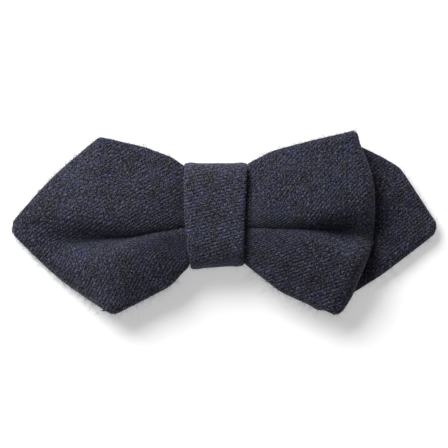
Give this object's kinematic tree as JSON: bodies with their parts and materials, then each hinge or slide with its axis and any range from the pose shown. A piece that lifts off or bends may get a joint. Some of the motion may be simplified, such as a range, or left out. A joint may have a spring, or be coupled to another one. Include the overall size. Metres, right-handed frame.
{
  "type": "bow tie",
  "caption": "Pre-tied diamond-point bow tie in navy flecked wool, with folded loops, a wrapped knot and a sprung steel collar clip behind.",
  "frame": {"origin": "centre of the knot band's back face, on which the bow tie rests", "axes": "+X along the bow to the right wing's point, +Y up the bow as it is worn, +Z out of its front"},
  "size_m": [0.1274, 0.0558, 0.0152],
  "materials": {
    "navy_wool": "matte",
    "interlining_canvas": "matte",
    "sewing_thread": "matte",
    "clip_steel": "satin",
    "pin_steel": "satin",
    "spring_wire": "satin"
  },
  "bodies": {
    "bow": {"front_bow_face": "navy_wool", "front_bow_interlining": "interlining_canvas", "front_bow_underside": "navy_wool", "rear_bow_face": "navy_wool", "rear_bow_interlining": "interlining_canvas", "rear_bow_underside": "navy_wool", "knot_band": "navy_wool", "knot_band_interlining": "interlining_canvas", "waist_binding_thread": "sewing_thread", "knot_closing_stitches": "sewing_thread", "clip_stitches": "sewing_thread", "clip_base_plate": "clip_steel", "left_hinge_pin": "pin_steel", "right_hinge_pin": "pin_steel", "left_arm_spring": "spring_wire", "right_arm_spring": "spring_wire"},
    "left_arm": {"left_clip_arm": "clip_steel"},
    "right_arm": {"right_clip_arm": "clip_steel"}
  },
  "joints": [
    {"name": "right_arm_hinge", "type": "hinge", "parent": "bow", "child": "right_arm", "pos_m": [0.0118, 0, 0.001], "axis": [0, 1, 0], "range_deg": [0, 60], "stiffness_Nm_per_rad": 0.01, "springref_deg": -17.19, "deforming": ["right_arm_spring"]},
    {"name": "left_arm_hinge", "type": "hinge", "parent": "bow", "child": "left_arm", "pos_m": [-0.0118, 0, 0.001], "axis": [0, -1, 0], "range_deg": [0, 60], "stiffness_Nm_per_rad": 0.01, "springref_deg": -17.19, "deforming": ["left_arm_spring"]}
  ]
}
